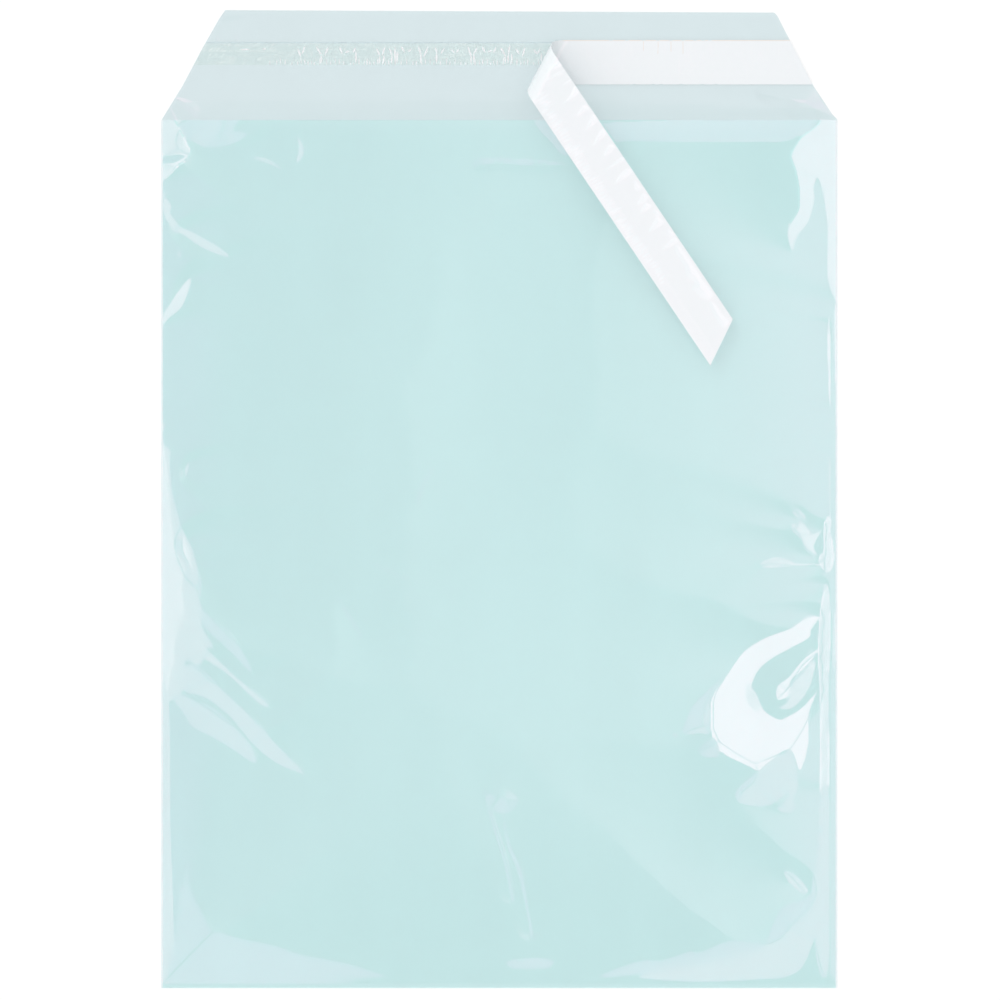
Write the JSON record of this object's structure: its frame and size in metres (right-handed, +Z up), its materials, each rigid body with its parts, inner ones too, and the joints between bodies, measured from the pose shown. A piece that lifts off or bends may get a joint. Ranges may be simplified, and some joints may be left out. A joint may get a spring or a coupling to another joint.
{
  "type": "cellophane sleeve",
  "caption": "Clear flat sleeve with side welds, open mouth, self-seal flap with adhesive band and a half-peeled release liner.",
  "frame": {"origin": "centre of the bounding box on the surface the sleeve lies on", "axes": "+X across the sleeve to the right as pictured, +Y from the bottom fold to the flap, +Z up, out of the front ply"},
  "size_m": [0.24, 0.347, 0.0101],
  "materials": {
    "clear_film": "clear polished film with a faint mint tint",
    "welded_edge": "melted bead, slightly hazy",
    "adhesive": "clear pressure-sensitive glue, satin",
    "release_liner": "white translucent film, satin, finely wrinkled"
  },
  "bodies": {
    "pocket": {"back_panel": "clear_film", "front_panel": "clear_film", "bottom_fold": "clear_film", "left_side_seal": "welded_edge", "right_side_seal": "welded_edge"},
    "flap": {"flap": "clear_film", "adhesive_strip": "adhesive"},
    "liner": {"liner_band": "release_liner", "liner_curl": "release_liner"},
    "tail": {"liner_tail": "release_liner"}
  },
  "joints": [
    {"name": "flap_fold", "type": "hinge", "parent": "pocket", "child": "flap", "pos_m": [0, 0.1345, 0.00275], "axis": [1, 0, 0], "range_deg": [0, 180]},
    {"name": "liner_peel", "type": "slide", "parent": "pocket", "child": "liner", "axis": [0.6, 0, 0.8], "range_m": [0, 0.2]},
    {"name": "tail_lift", "type": "hinge", "parent": "liner", "child": "tail", "pos_m": [0.01696, 0.1474, 0.01009], "axis": [-0.4695, -0.8829, 0], "range_deg": [0, 80]}
  ],
  "couplings": [
    {"joint": "liner_peel", "follows": "flap_fold", "m_per_rad": 0.0625}
  ]
}
